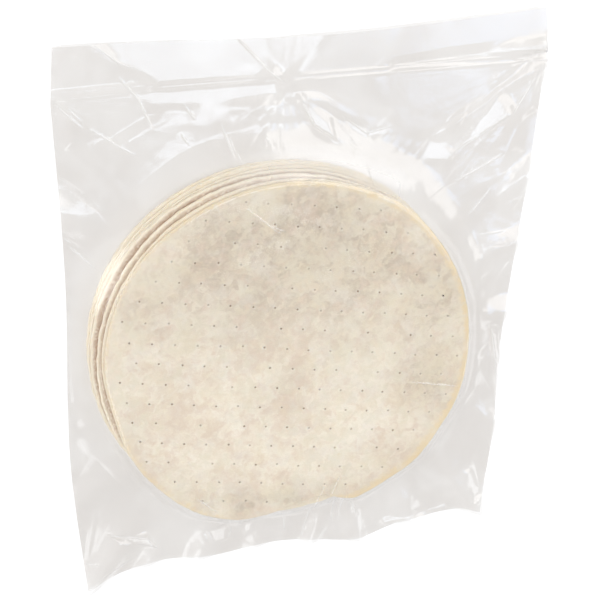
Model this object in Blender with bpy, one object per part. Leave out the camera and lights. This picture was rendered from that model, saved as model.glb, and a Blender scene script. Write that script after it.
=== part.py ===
"""Stack of flour tortillas sealed in a clear press-to-close bag, lying flat.

One closed solid gives the outer form of the bag: its film drawn down over the stack,
the loose margins with their folds, the two ridges of the closure and the open lip.
Metres, +Z up. The origin is on the surface that the bag lies on, under the middle of
its outline, and +Y runs towards the mouth. Seen from above, every point of the bag has
one height for the back film and one for the front film, so the solid is a loft between
rings that start at the round stack and end at the bag's own outline.
"""

import math

import bmesh
import bpy
from mathutils import Vector
from mathutils.geometry import intersect_point_line

# ---- Tortillas: thin pressed rounds, each slid a little from the next ------------------
RADIUS = 0.1525
THICKNESS = 0.0028
STACK_CENTRE = Vector((-0.017, -0.0305))  # the middle of the top one
# Where each lies beside the top one, from the bottom of the stack upwards
SLIDES = (
    (-0.0100, 0.0120),
    (-0.0105, 0.0120),
    (-0.0095, 0.0115),
    (-0.0095, 0.0096),
    (-0.0090, 0.0085),
    (-0.0010, 0.0070),
    (-0.0055, 0.0050),
    (0.0, 0.0),
)
# The top one's edge is uneven: direction and half width in degrees, and how far it goes out
BULGES = (
    (-121, 16, 0.0050),
    (-22, 14, 0.0025),
    (140, 16, 0.0018),
    (-165, 14, -0.0035),
)
# Its edge nearest the bottom of the bag is pressed in, with one long and one short flank
DENT_DIRECTION = -80
DENT_LONG_FLANK = 30
DENT_SHORT_FLANK = 13
DENT_DEPTH = 0.016

# ---- Bag outline, as points that a smooth line runs through ----------------------------
ZIP_Y = 0.1975
RIGHT_SEAM = (
    (0.160, -0.2165),
    (0.1695, -0.1335),
    (0.172, -0.050),
    (0.1885, 0.100),
    (0.198, ZIP_Y),
)
ZIP_LINE = ((0.198, ZIP_Y), (-0.196, ZIP_Y))
LEFT_SEAM = (
    (-0.196, ZIP_Y),
    (-0.193, 0.050),
    (-0.198, -0.110),
    (-0.190, -0.2415),
)
BOTTOM_SEAM = (
    (-0.190, -0.2415),
    (-0.165, -0.229),
    (-0.125, -0.221),
    (-0.080, -0.2235),
    (-0.036, -0.2185),
    (0.002, -0.2205),
    (0.045, -0.2275),
    (0.085, -0.217),
    (0.135, -0.211),
    (0.160, -0.2165),
)
LIP_EDGE = (
    (0.193, 0.2415),
    (0.130, 0.2375),
    (0.050, 0.2335),
    (-0.040, 0.2335),
    (-0.120, 0.2370),
    (-0.193, 0.2395),
)
RAYS_RIGHT, RAYS_TOP, RAYS_LEFT, RAYS_BOTTOM = 32, 42, 34, 38

# ---- Film ------------------------------------------------------------------------------
FILM_OVER_STACK = 0.0004  # the film and a little air above the top tortilla
SWELL = 0.0006  # slow ups and downs of the baked top
SWELL_LENGTH = 0.105
SEAM_THICKNESS = 0.0008
MARGIN_THICKNESS = 0.0030  # the air that stays in the loose margins
MARGIN_RISE = 0.030  # how far in from a seam the margin is at its full thickness
HUG = 0.012  # how soon the front film drops beside the stack
HUG_AT_MOUTH = 0.020  # it drops more slowly on the side of the mouth
FOOT = 0.004  # flat strip round the stack, before the first fold begins
FOOT_RISE = 0.018
# Rings of the loft, as shares of the way across the top and of the way across the margin
PLATEAU_RINGS = (0.22, 0.44, 0.66, 0.84, 0.95)
MARGIN_RINGS = (0.0, 0.13, 0.28, 0.44, 0.6, 0.78, 1.0)
RIDGE = 0.0009  # height of the closure's two ridges
# Rows of the lip: distance from the closure's lower line, and height added by a ridge
LIP_ROWS = (
    (0.0007, RIDGE),
    (0.0019, RIDGE),
    (0.0026, 0.0),
    (0.0046, 0.0),
    (0.0053, RIDGE),
    (0.0065, RIDGE),
    (0.0072, 0.0),
    (0.0150, 0.0),
    (0.0240, 0.0),
    (0.0330, 0.0),
)
# Folds: both ends, height, and the width of the flank on the left and on the right of the
# way from the first end to the second. A fold is highest at its first end.
FOLDS = (
    # from the two corners of the mouth, where the bag was held, to the stack's shoulders
    ((-0.197, 0.236), (-0.115, 0.130), 0.0070, 0.030, 0.030),
    ((0.199, 0.236), (0.092, 0.126), 0.0080, 0.026, 0.110),
    ((0.186, 0.190), (0.089, 0.128), 0.0065, 0.014, 0.012),
    ((0.129, 0.172), (0.115, 0.122), 0.0045, 0.012, 0.016),
    # the pinch near the middle of the mouth: a steep flank on the right, a long one on the left
    ((-0.020, 0.240), (-0.010, 0.135), 0.0085, 0.014, 0.105),
    # a small star of folds between the pinch and the stack
    ((-0.003, 0.182), (0.040, 0.134), 0.0050, 0.012, 0.010),
    ((0.004, 0.184), (0.072, 0.154), 0.0045, 0.010, 0.012),
    # up from the bottom seam
    ((-0.188, -0.240), (-0.130, -0.165), 0.0080, 0.022, 0.014),
    ((-0.140, -0.226), (-0.118, -0.185), 0.0040, 0.012, 0.012),
    ((-0.095, -0.225), (-0.078, -0.180), 0.0050, 0.016, 0.016),
    ((-0.045, -0.222), (-0.035, -0.178), 0.0040, 0.014, 0.016),
    ((0.004, -0.224), (0.024, -0.160), 0.0065, 0.012, 0.014),
    ((0.048, -0.230), (0.033, -0.165), 0.0045, 0.014, 0.012),
    ((0.098, -0.218), (0.070, -0.165), 0.0055, 0.016, 0.018),
    ((0.160, -0.220), (0.110, -0.140), 0.0080, 0.018, 0.020),
    # in from the right seam
    ((0.176, -0.135), (0.138, -0.095), 0.0040, 0.016, 0.014),
    ((0.182, -0.070), (0.140, -0.055), 0.0050, 0.016, 0.014),
    ((0.182, -0.020), (0.142, -0.020), 0.0055, 0.016, 0.016),
    ((0.190, 0.045), (0.145, 0.030), 0.0045, 0.020, 0.016),
    ((0.194, 0.105), (0.150, 0.070), 0.0045, 0.024, 0.016),
    # in from the left seam
    ((-0.200, 0.110), (-0.160, 0.085), 0.0040, 0.022, 0.016),
    ((-0.202, -0.080), (-0.175, -0.070), 0.0030, 0.018, 0.018),
    ((-0.204, -0.155), (-0.150, -0.125), 0.0045, 0.018, 0.018),
)

COLOUR = (0.84, 0.79, 0.72, 1.0)
ROUGHNESS = 0.35


def ease(x):
    """0 below 0, 1 above 1, and a smooth way between."""
    x = min(1.0, max(0.0, x))
    return x * x * (3.0 - 2.0 * x)


def turn_between(a, b):
    """The smaller angle between two directions, in degrees, with its sign."""
    return (a - b + 180.0) % 360.0 - 180.0


def edge_of_top(direction):
    """The top tortilla's radius in a direction given in degrees."""
    radius = RADIUS
    for centre, half_width, out in BULGES:
        radius += out * math.exp(-((turn_between(direction, centre) / half_width) ** 2))
    turn = turn_between(direction, DENT_DIRECTION)
    flank = DENT_SHORT_FLANK if turn > 0 else DENT_LONG_FLANK
    return radius - DENT_DEPTH * (1.0 - ease(abs(turn) / flank))


def outside(point, index):
    """How far a point lies outside one tortilla of the stack."""
    away = point - STACK_CENTRE - Vector(SLIDES[index])
    radius = RADIUS
    if index == len(SLIDES) - 1:
        radius = edge_of_top(math.degrees(math.atan2(away.y, away.x)))
    return max(0.0, away.length - radius)


def edge_along(direction, index):
    """How far the ray from the stack's centre runs before it leaves one tortilla."""
    if index == len(SLIDES) - 1:
        return edge_of_top(math.degrees(math.atan2(direction.y, direction.x)))
    slide = Vector(SLIDES[index])
    side = slide.x * direction.y - slide.y * direction.x
    return slide.dot(direction) + math.sqrt(RADIUS**2 - side**2)


def smooth_line(points, pieces=12):
    """A Catmull-Rom curve through the points, as a dense list."""
    points = [Vector(p) for p in points]
    if len(points) == 2:
        return [points[0].lerp(points[1], i / 60) for i in range(61)]
    ends = [2 * points[0] - points[1]] + points + [2 * points[-1] - points[-2]]
    line = []
    for a, b, c, d in zip(ends, ends[1:], ends[2:], ends[3:]):
        for i in range(pieces):
            t = i / pieces
            line.append(
                0.5
                * (
                    2 * b
                    + (c - a) * t
                    + (2 * a - 5 * b + 4 * c - d) * t**2
                    + (3 * b - a - 3 * c + d) * t**3
                )
            )
    return line + [points[-1]]


def by_direction(line, count):
    """Points on a line at even turns as seen from the stack's centre, without the last."""

    def direction(point):
        away = point - STACK_CENTRE
        return math.atan2(away.y, away.x)

    start = direction(line[0])
    turns = [math.radians(turn_between(math.degrees(direction(p) - start), 0.0)) for p in line]
    found = []
    for i in range(count):
        wanted = turns[-1] * i / count
        j = next(j for j in range(len(line) - 1) if turns[j + 1] > wanted)
        share = (wanted - turns[j]) / (turns[j + 1] - turns[j])
        found.append(line[j].lerp(line[j + 1], share))
    return found


def seam_outline():
    """The closed outline of the bag below its lip, anticlockwise from the lower right."""
    return (
        by_direction(smooth_line(RIGHT_SEAM), RAYS_RIGHT)
        + by_direction(smooth_line(ZIP_LINE), RAYS_TOP)
        + by_direction(smooth_line(LEFT_SEAM), RAYS_LEFT)
        + by_direction(smooth_line(BOTTOM_SEAM), RAYS_BOTTOM)
    )


def in_from_seam(point, outline):
    """How far a point lies from the nearest seam or from the closure."""
    nearest = 1.0
    for a, b in zip(outline, outline[1:] + outline[:1]):
        on_line, share = intersect_point_line(point, a, b)
        foot = a.lerp(b, min(1.0, max(0.0, share))) if not 0 <= share <= 1 else on_line.xy
        nearest = min(nearest, (point - foot).length)
    return nearest


def fold_height(point):
    """What the folds add: each is a tent, highest at its first end, and they don't add up."""
    highest = 0.0
    for start, end, height, left, right in FOLDS:
        start, end = Vector(start), Vector(end)
        way = (end - start).normalized()
        away = point - start
        along = away.dot(way) / (end - start).length
        side = way.x * away.y - way.y * away.x
        across = abs(side) / (left if side > 0 else right)
        fade = 1.0 - ease(along) if along > 0 else 1.0 - min(1.0, -2.0 * along)
        highest = max(highest, height * fade * max(0.0, 1.0 - across))
    return highest


def back_film(point):
    """Flat under the stack, lifted by the folds away from it."""
    clear = min(outside(point, i) for i in range(len(SLIDES)))
    return fold_height(point) * ease((clear - FOOT) / FOOT_RISE)


def swell(point):
    """Slow ups and downs of the stack's top, level at its edge."""
    turn = 2 * math.pi / SWELL_LENGTH
    wave = math.sin(turn * point.x + 1.3 * math.sin(turn * point.y)) * math.sin(turn * point.y + 0.6)
    inside = 1.0 - (point - STACK_CENTRE).length / RADIUS
    return SWELL * wave * ease(inside / 0.25)


def over_stack(point):
    """The front film's drop from each tortilla's edge: the highest of them carries it."""
    height = 0.0
    for index in range(len(SLIDES)):
        away = point - STACK_CENTRE - Vector(SLIDES[index])
        upward = max(0.0, away.y / max(away.length, 1e-6))
        hug = HUG + (HUG_AT_MOUTH - HUG) * upward**2
        top = (index + 1) * THICKNESS + FILM_OVER_STACK
        height = max(height, top * math.exp(-outside(point, index) / hug))
    return height + swell(point)


def front_film(point, outline):
    inset = in_from_seam(point, outline)
    air = SEAM_THICKNESS + (MARGIN_THICKNESS - SEAM_THICKNESS) * ease(inset / MARGIN_RISE)
    over = over_stack(point) * ease(inset / 0.016)
    return back_film(point) + max(air, over + SEAM_THICKNESS * (1.0 - ease(inset / 0.016)))


def ray_rings(outline):
    """For each ray, the distances of the rings of the front film, from the centre out."""
    rings = []
    for corner in outline:
        direction = (corner - STACK_CENTRE).normalized()
        reach = (corner - STACK_CENTRE).length
        top, second, middle, bottom = (edge_along(direction, i) for i in (7, 6, 4, 0))
        rim = [top - 0.0015, top, top + 0.0016]
        steps = [max(rim[-1] + 0.0018, second)]
        steps.append(max(steps[-1] + 0.0018, middle))
        steps.append(max(steps[-1] + 0.0018, bottom))
        foot = steps[-1] + 0.0045
        margin = [foot + (reach - foot) * share for share in MARGIN_RINGS]
        rings.append([top * share for share in PLATEAU_RINGS] + rim + steps + margin)
    return rings


def stand(bm, point, height):
    return bm.verts.new((point.x, point.y, height))


def loft(bm, rows, closed):
    """Quads between each row of vertices and the next."""
    for row, following in zip(rows, rows[1:]):
        last = len(row) if closed else len(row) - 1
        for i in range(last):
            j = (i + 1) % len(row)
            bm.faces.new((row[i], row[j], following[j], following[i]))


def cap(bm, ring, centre):
    for i, vertex in enumerate(ring):
        bm.faces.new((vertex, ring[(i + 1) % len(ring)], centre))


def lip_rows(bm, closure, surface):
    """The lip's rows of vertices beyond the closure, for the front or the back film."""
    edge = smooth_line(LIP_EDGE)
    rows = []
    columns = len(closure)
    for distance, ridge in LIP_ROWS + ((None, 0.0),):
        row = []
        for i, start in enumerate(closure):
            share = (closure[0].x - start.x) / (closure[0].x - closure[-1].x)
            place = share * (len(edge) - 1)
            j = min(int(place), len(edge) - 2)
            end = edge[j].lerp(edge[j + 1], place - j)
            reach = 1.0 if distance is None else distance / (end - start).length
            point = start.lerp(end, reach)
            side = min(i, columns - 1 - i)
            height = fold_height(point)
            if surface == "front":
                height += SEAM_THICKNESS + (ridge if side else 0.0)
            row.append(stand(bm, point, height))
        rows.append(row)
    return rows


def build_bag():
    outline = seam_outline()
    rings = ray_rings(outline)
    bm = bmesh.new()

    front, back = [], []
    for number in range(len(rings[0])):
        places = []
        for corner, distances in zip(outline, rings):
            direction = (corner - STACK_CENTRE).normalized()
            places.append(STACK_CENTRE + direction * distances[number])
        front.append([stand(bm, p, front_film(p, outline)) for p in places])
        # The back film is flat under the stack, so it has fewer rings there
        if number == len(PLATEAU_RINGS) or number >= len(distances) - len(MARGIN_RINGS):
            back.append([stand(bm, p, back_film(p)) for p in places])

    loft(bm, front, closed=True)
    loft(bm, back, closed=True)
    cap(bm, front[0], stand(bm, STACK_CENTRE, front_film(STACK_CENTRE, outline)))
    cap(bm, back[0], stand(bm, STACK_CENTRE, 0.0))

    first, last = RAYS_RIGHT, RAYS_RIGHT + RAYS_TOP
    closure = outline[first : last + 1]
    front_lip = [front[-1][first : last + 1]] + lip_rows(bm, closure, "front")
    back_lip = [back[-1][first : last + 1]] + lip_rows(bm, closure, "back")
    loft(bm, front_lip, closed=False)
    loft(bm, back_lip, closed=False)

    # The seams join the two films all round: sides and bottom, then round the lip
    round_front = front[-1][last:] + front[-1][: first + 1]
    round_back = back[-1][last:] + back[-1][: first + 1]
    lip_front = [row[0] for row in front_lip] + front_lip[-1][1:-1] + [row[-1] for row in front_lip[::-1]]
    lip_back = [row[0] for row in back_lip] + back_lip[-1][1:-1] + [row[-1] for row in back_lip[::-1]]
    loft(bm, [round_front, round_back], closed=False)
    loft(bm, [lip_front, lip_back], closed=False)

    bmesh.ops.recalc_face_normals(bm, faces=bm.faces)
    mesh = bpy.data.meshes.new("tortilla_bag")
    bm.to_mesh(mesh)
    bm.free()
    return mesh


def film_material():
    material = bpy.data.materials.new("bag_film")
    material.use_nodes = True
    shader = material.node_tree.nodes["Principled BSDF"]
    shader.inputs["Base Color"].default_value = COLOUR
    shader.inputs["Roughness"].default_value = ROUGHNESS
    shader.inputs["Metallic"].default_value = 0.0
    return material


def main():
    for thing in list(bpy.data.objects):
        bpy.data.objects.remove(thing)
    group = bpy.data.collections.new("stack_of_flour_tortillas")
    bpy.context.scene.collection.children.link(group)
    mesh = build_bag()
    mesh.materials.append(film_material())
    mesh.shade_smooth()
    mesh.set_sharp_from_angle(angle=math.radians(35))
    group.objects.link(bpy.data.objects.new("tortilla_bag", mesh))


main()
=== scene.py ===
# %% [markdown]
# # Flour tortillas in a clear press-to-close bag
# A food pack is two things with very different skins: dull, mottled bread, and thin clear
# film that shows mostly by what it reflects. This lesson loads the solid model of the pack
# as a fixed frame, and replaces that solid with eight baked rounds and the film round
# them. Sizes are in metres where nothing else is said, and +Y runs to the bag's mouth.

# %% Load the solid model as the frame
import math

import bmesh
import bpy
import numpy as np
from mathutils import Matrix, Vector


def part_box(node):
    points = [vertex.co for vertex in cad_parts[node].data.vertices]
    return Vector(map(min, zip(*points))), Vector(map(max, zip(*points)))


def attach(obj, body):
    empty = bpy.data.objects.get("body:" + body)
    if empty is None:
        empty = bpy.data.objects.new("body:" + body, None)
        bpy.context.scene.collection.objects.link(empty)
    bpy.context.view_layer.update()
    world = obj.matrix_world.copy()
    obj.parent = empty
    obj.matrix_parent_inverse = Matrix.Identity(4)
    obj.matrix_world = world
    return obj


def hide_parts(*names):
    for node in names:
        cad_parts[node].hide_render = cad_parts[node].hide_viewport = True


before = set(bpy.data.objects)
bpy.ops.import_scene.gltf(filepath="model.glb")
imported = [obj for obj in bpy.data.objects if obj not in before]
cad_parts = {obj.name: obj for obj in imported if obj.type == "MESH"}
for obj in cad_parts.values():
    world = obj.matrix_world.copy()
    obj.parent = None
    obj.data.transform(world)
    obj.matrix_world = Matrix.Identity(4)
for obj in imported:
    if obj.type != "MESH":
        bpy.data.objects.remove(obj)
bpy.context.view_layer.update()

bag_low, bag_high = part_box("tortilla_bag")
print("solid bag, mm:", [round(1000 * (h - l)) for l, h in zip(bag_low, bag_high)])

# %% [markdown]
# ## The stack
# Tortillas are pressed from balls of dough, so no two are quite the same, and a stack
# slides a little when it is handled. So each round has its own slide beside the top one.
# The top one is uneven all round, and its lower edge was pressed in where the pack stood
# on it.

# %% Sizes of the stack
RADIUS = 0.1525
THICKNESS = 0.0028
STACK_CENTRE = np.array([-0.017, -0.0305])
# How far each round slid in X and Y beside the top one, in millimetres
SLIDES = np.array([
    (-10, 12), (-10.5, 12), (-9.5, 11.5), (-9.5, 9.6), (-9, 8.5), (-1, 7), (-5.5, 5), (0, 0),
]) / 1000
TOP = len(SLIDES) - 1
# Direction in degrees, half width and height of each bulge of the top round's edge
BULGES = ((-121, 16, 0.005), (-22, 14, 0.0025), (140, 16, 0.0018), (-165, 14, -0.0035),
          (-148, 14, 0.0022), (-45, 9, 0.0032), (52, 12, 0.0018))
DENT_DIRECTION, DENT_LONG_FLANK, DENT_SHORT_FLANK, DENT_DEPTH = -80, 30, 13, 0.016
SWELL, SWELL_LENGTH, SWELL_FADE = 0.0006, 0.105, 0.25


def ease(x):
    """0 below 0, 1 above 1, and a smooth way between."""
    x = np.clip(x, 0.0, 1.0)
    return x * x * (3.0 - 2.0 * x)


def turn_between(a, b):
    """The smaller angle between two directions, in degrees, with its sign."""
    return (a - b + 180.0) % 360.0 - 180.0


def edge_of_top(direction):
    """The top round's radius in directions given in degrees."""
    radius = np.full_like(direction, RADIUS)
    for centre, half_width, out in BULGES:
        radius += out * np.exp(-((turn_between(direction, centre) / half_width) ** 2))
    turn = turn_between(direction, DENT_DIRECTION)
    flank = np.where(turn > 0, DENT_SHORT_FLANK, DENT_LONG_FLANK)
    return radius - DENT_DEPTH * (1.0 - ease(np.abs(turn) / flank))


def outside(points, index):
    """How far points lie outside one round of the stack."""
    away = points - STACK_CENTRE - SLIDES[index]
    radius = RADIUS
    if index == TOP:
        radius = edge_of_top(np.degrees(np.arctan2(away[:, 1], away[:, 0])))
    return np.maximum(0.0, np.hypot(away[:, 0], away[:, 1]) - radius)


def swell(points):
    """Slow ups and downs of the baked top, level at its edge."""
    turn = 2 * math.pi / SWELL_LENGTH
    x, y = points[:, 0], points[:, 1]
    wave = np.sin(turn * x + 1.3 * np.sin(turn * y)) * np.sin(turn * y + 0.6)
    inside = 1.0 - np.hypot(*(points - STACK_CENTRE).T) / RADIUS
    return SWELL * wave * ease(inside / SWELL_FADE)


print("rounds:", len(SLIDES), " stack height, mm:", round(1000 * THICKNESS * len(SLIDES), 1))

# %% [markdown]
# ## The bag's outline
# The bag is a flat tube of film, welded down both sides, folded at the bottom and shut by
# a pressed closure below an open lip. It hung from the corners of its mouth, so the lip
# sags between them. As a pattern maker would draw it, each side is a few points with a
# smooth line through them.

# %% Sides of the bag
ZIP_Y = 0.1975
# Points from one end of each line to the other, in millimetres
RIGHT_SEAM = ((160, -216.5), (169.5, -133.5), (172, -50), (188.5, 100), (198, 197.5))
LEFT_SEAM = ((-190, -241.5), (-198, -110), (-193, 50), (-196, 197.5))
BOTTOM_SEAM = (
    (-190, -241.5), (-165, -229), (-125, -221), (-80, -223.5), (-36, -218.5),
    (2, -220.5), (45, -227.5), (85, -217), (135, -211), (160, -216.5),
)
LIP_EDGE = ((-193, 239.5), (-120, 237), (-40, 233.5), (50, 233.5), (130, 237.5), (193, 241.5))


def smooth_line(points, pieces=16):
    """A Catmull-Rom curve through the points, as a dense array."""
    p = np.array(points) / 1000
    p = np.vstack([2 * p[0] - p[1], p, 2 * p[-1] - p[-2]])
    t = (np.arange(pieces) / pieces)[:, None]
    line = [
        0.5 * (2 * b + (c - a) * t + (2 * a - 5 * b + 4 * c - d) * t**2 + (3 * b - a - 3 * c + d) * t**3)
        for a, b, c, d in zip(p, p[1:], p[2:], p[3:])
    ]
    return np.vstack(line + [p[-2:-1]])


def along(line, share):
    """Points on a line at shares of its length."""
    steps = np.hypot(*np.diff(line, axis=0).T)
    place = np.concatenate([[0.0], np.cumsum(steps)]) / steps.sum()
    return np.stack([np.interp(share, place, line[:, i]) for i in (0, 1)], axis=-1)


right_seam, left_seam = smooth_line(RIGHT_SEAM), smooth_line(LEFT_SEAM)
bottom_seam, lip_edge = smooth_line(BOTTOM_SEAM), smooth_line(LIP_EDGE)
body_outline = np.vstack([bottom_seam[:-1], right_seam[:-1], left_seam[:0:-1]])
print("bag width at the closure, mm:", RIGHT_SEAM[-1][0] - LEFT_SEAM[-1][0])

# %% [markdown]
# ## Folds
# Soft film could be simulated as cloth, but its folds come from how the pack was held,
# and a simulation would put them anywhere. So each fold across the loose margins is
# placed one by one, as a long low tent. The solid model has the same tents, so the film
# keeps its form.

# %% Long folds
# In millimetres: x and y of both ends, height, and the flank's width to the left and right
FOLDS = (
    (-197, 236, -115, 130, 7, 30, 30), (199, 236, 92, 126, 8, 26, 110), (186, 190, 89, 128, 5.5, 22, 20),
    (129, 172, 115, 122, 4.5, 12, 16), (-20, 240, -10, 135, 7.8, 16, 105), (-3, 182, 40, 134, 5, 12, 10),
    (4, 184, 72, 154, 4.5, 10, 12), (-188, -240, -130, -165, 8, 22, 14),
    (-140, -226, -118, -185, 4, 12, 12), (-95, -225, -78, -180, 5, 16, 16),
    (-45, -222, -35, -178, 4, 14, 16), (4, -224, 24, -160, 6.5, 12, 14), (48, -230, 33, -165, 4.5, 14, 12),
    (98, -218, 70, -165, 5.5, 16, 18), (160, -220, 110, -140, 8, 18, 20), (176, -135, 138, -95, 4, 16, 14),
    (182, -70, 140, -55, 5, 16, 14), (182, -20, 142, -20, 5.5, 16, 16), (190, 45, 145, 30, 4.5, 20, 16),
    (194, 105, 150, 70, 4.5, 24, 16), (-200, 110, -160, 85, 4, 22, 16), (-202, -80, -175, -70, 3, 18, 18),
    (-204, -155, -150, -125, 4.5, 18, 18),
)


def tent(points, x, y, end_x, end_y, height, left, right):
    """A long low tent, highest at its first end and fading towards its second."""
    start, end = np.array((x, y)), np.array((end_x, end_y))
    length = np.hypot(*(end - start))
    way = (end - start) / length
    away = points - start
    share = away @ way / length
    side = way[0] * away[:, 1] - way[1] * away[:, 0]
    across = np.abs(side) / np.where(side > 0, left, right)
    fade = np.where(share > 0, 1.0 - ease(share), 1.0 - np.minimum(1.0, -2.0 * share))
    return height * fade * (1.0 - ease(across))


def fold_height(points):
    """The highest of the folds."""
    return np.max([tent(points, *fold) for fold in np.array(FOLDS) / 1000], axis=0)


print("folds:", len(FOLDS), " highest, mm:", max(fold[4] for fold in FOLDS))

# %% [markdown]
# ## Where the film goes
# The film's height comes from what carries it. It drops from the edge of whichever round
# is highest there, more gently towards the mouth. A little air holds it up in the
# margins, and the seams pinch it together.

# %% Heights of the film
SEAM_THICKNESS, MARGIN_THICKNESS, MARGIN_RISE = 0.0008, 0.003, 0.03
FILM_OVER_STACK = 0.0004
HUG, HUG_AT_MOUTH = 0.012, 0.02
FOOT, FOOT_RISE = 0.004, 0.018
SEAM_PINCH = 0.016


def from_piece(points, a, b):
    """How far points lie from a straight piece of line, and beside what share of it."""
    way = b - a
    share = np.clip((points - a) @ way / max(way @ way, 1e-12), 0.0, 1.0)
    return np.hypot(*(points - a - share[:, None] * way).T), share


def in_from_seam(points):
    """How far points lie from the nearest seam or from the closure."""
    nearest = np.full(len(points), 1.0)
    for a, b in zip(body_outline, np.roll(body_outline, -1, axis=0)):
        nearest = np.minimum(nearest, from_piece(points, a, b)[0])
    return nearest


def clear_of_stack(points):
    """How far points lie outside every round."""
    return np.min([outside(points, i) for i in range(len(SLIDES))], axis=0)


def back_height(points):
    """The folds, which start a little way off the stack."""
    return fold_height(points) * ease((clear_of_stack(points) - FOOT) / FOOT_RISE)


def over_stack(points):
    """The front film's drop from the highest edge that carries it."""
    height = np.zeros(len(points))
    for index, slide in enumerate(SLIDES):
        away = points - STACK_CENTRE - slide
        upward = np.maximum(0.0, away[:, 1] / np.maximum(np.hypot(*away.T), 1e-6))
        hug = HUG + (HUG_AT_MOUTH - HUG) * upward**2
        top = (index + 1) * THICKNESS + FILM_OVER_STACK
        height = np.maximum(height, top * np.exp(-outside(points, index) / hug))
    return height + swell(points)


def front_height(points, inset):
    """Height of the front film below the closure."""
    air = SEAM_THICKNESS + (MARGIN_THICKNESS - SEAM_THICKNESS) * ease(inset / MARGIN_RISE)
    pinch = ease(inset / SEAM_PINCH)
    over = over_stack(points) * pinch + SEAM_THICKNESS * (1.0 - pinch)
    return back_height(points) + np.maximum(air, over)


middle = STACK_CENTRE[None]
print("film over the stack, mm:", round(1000 * front_height(middle, in_from_seam(middle))[0], 2))

# %% [markdown]
# ## Crinkles
# Between its large folds, handled film breaks into small flat facets that meet in sharp
# lines. A sum of sine waves looks like water, and plain noise looks like cloth. Facets
# come from a height that is straight between the corners of a triangle: random heights on
# a triangular lattice, bent a little so that it doesn't show.

# %% Facets
# Turns a square lattice into one of equal-sided triangles
LATTICE_SKEW = (math.sqrt(3.0) - 1.0) / 2.0


def lattice_height(points, size, seed):
    """Flat triangular facets between random heights in -1 to 1."""
    skew = (points[:, 0] + points[:, 1]) * LATTICE_SKEW
    u, v = (points[:, 0] + skew) / size, (points[:, 1] + skew) / size
    i, j = np.floor(u), np.floor(v)
    fu, fv = u - i, v - j

    def corner(a, b):
        code = np.sin((i + a) * 127.1 + (j + b) * 311.7 + seed * 74.7) * 43758.5453
        return 2.0 * (code - np.floor(code)) - 1.0

    lower = fu > fv
    first = corner(0, 0) * (1.0 - np.where(lower, fu, fv))
    middle = np.where(lower, corner(1, 0), corner(0, 1)) * np.abs(fu - fv)
    return first + middle + corner(1, 1) * np.where(lower, fv, fu)


def facets(points, size, seed, stretch=1.0, turn=0.0):
    """The same, on a lattice that is bent, and stretched along one direction."""
    c, s = math.cos(turn), math.sin(turn)
    x = points[:, 0] * c + points[:, 1] * s
    y = points[:, 1] * c - points[:, 0] * s
    x = x + 0.22 * size * np.sin(y / size * 0.9 + seed)
    y = y + 0.22 * size * np.sin(x / size * 0.7 + 2 * seed)
    return lattice_height(np.stack([x / stretch, y], axis=1), size, seed)


print("facets 5 mm apart:", facets(np.linspace((0.0, 0.0), (0.02, 0.0), 5), 0.013, 7.0).round(2))

# %% [markdown]
# ## Pleats
# Where film is gathered to a point, at a corner or a pinched place, it folds into long
# pleats that fan out from there. Seen from that point, a pleat is a change of height with
# direction. So a fan joins random heights at random directions with straight lines, and
# fades them out with distance. That leaves flat flanks and sharp straight ridges.

# %% Fans of pleats
# Start in millimetres, first and last direction in degrees, pleats, height and reach in millimetres
FANS = (
    (202, 203, 196, 250, 9, 1.44, 150), (203, 250, 185, 262, 7, 0.72, 90),
    (-200, 204, -62, -8, 7, 0.72, 110), (-201, 245, -75, -5, 6, 0.6, 70),
    (-13, 200, 215, 338, 11, 1.08, 75), (-16, 197, 15, 165, 10, 0.84, 80),
    (-195, -245, 12, 84, 8, 1.32, 90), (-128, -224, 48, 138, 7, 0.72, 45),
    (-82, -227, 40, 140, 7, 0.78, 50), (-40, -223, 45, 138, 7, 0.78, 50), (3, -225, 42, 136, 8, 0.96, 55),
    (46, -231, 45, 140, 8, 0.96, 60), (98, -219, 40, 135, 8, 0.84, 55), (165, -222, 92, 172, 8, 1.2, 80),
    (174, -130, 110, 235, 7, 0.72, 45), (180, -35, 115, 245, 8, 0.9, 50), (190, 50, 120, 240, 8, 0.84, 55),
    (196, 115, 150, 250, 7, 0.84, 70), (-200, 110, -70, 50, 6, 0.18, 50), (-203, -60, -70, 60, 6, 0.36, 30),
    (-204, -155, -60, 62, 7, 0.6, 60), (45, 90, 12, 100, 11, 1.8, 80), (-15, 105, 48, 125, 9, 1.32, 60),
)


def pleat_height(points):
    """The highest of the fans' pleats, between 0 and each fan's height."""
    raised = np.zeros(len(points))
    for seed, (x, y, first, last, count, height, reach) in enumerate(FANS):
        pick = np.random.default_rng(40 + seed)
        height, reach = height / 1000, reach / 1000
        away = points - np.array((x, y)) / 1000
        distance = np.hypot(*away.T)
        direction = first + (np.degrees(np.arctan2(away[:, 1], away[:, 0])) - first) % 360.0
        joints = first + (last - first) * np.sort(pick.random(2 * count - 1))
        joints = np.concatenate([[first], joints, [last]])
        levels = np.where(np.arange(len(joints)) % 2, pick.uniform(0.5, 1.0, len(joints)),
                          pick.uniform(0.0, 0.25, len(joints)))
        levels[[0, -1]] = 0.0
        profile = np.interp(direction, joints, levels, right=0.0)
        start_fade = np.minimum(distance / (0.25 * reach), 1.0)
        end_fade = np.clip(1.4 * (1.0 - distance / reach), 0.0, 1.0)
        raised = np.maximum(raised, height * profile * start_fade * end_fade)
    return raised


print("fans:", len(FANS), " pleats:", sum(fan[4] for fan in FANS))

# %% [markdown]
# ## Panels
# Some of a bag's marks are too plain to leave to chance. Stiff film lies in flat panels
# between its folds, and a flat panel catches a lamp all at once, which is what makes it
# look like film. Inside a panel's corners the film becomes one tilted plane. A small
# panel sits at the height the film has there. A large one, in the lip or under the
# closure, goes through a given place, so that neighbours meet. Where two overlap, only
# the later one's border shows.

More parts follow.
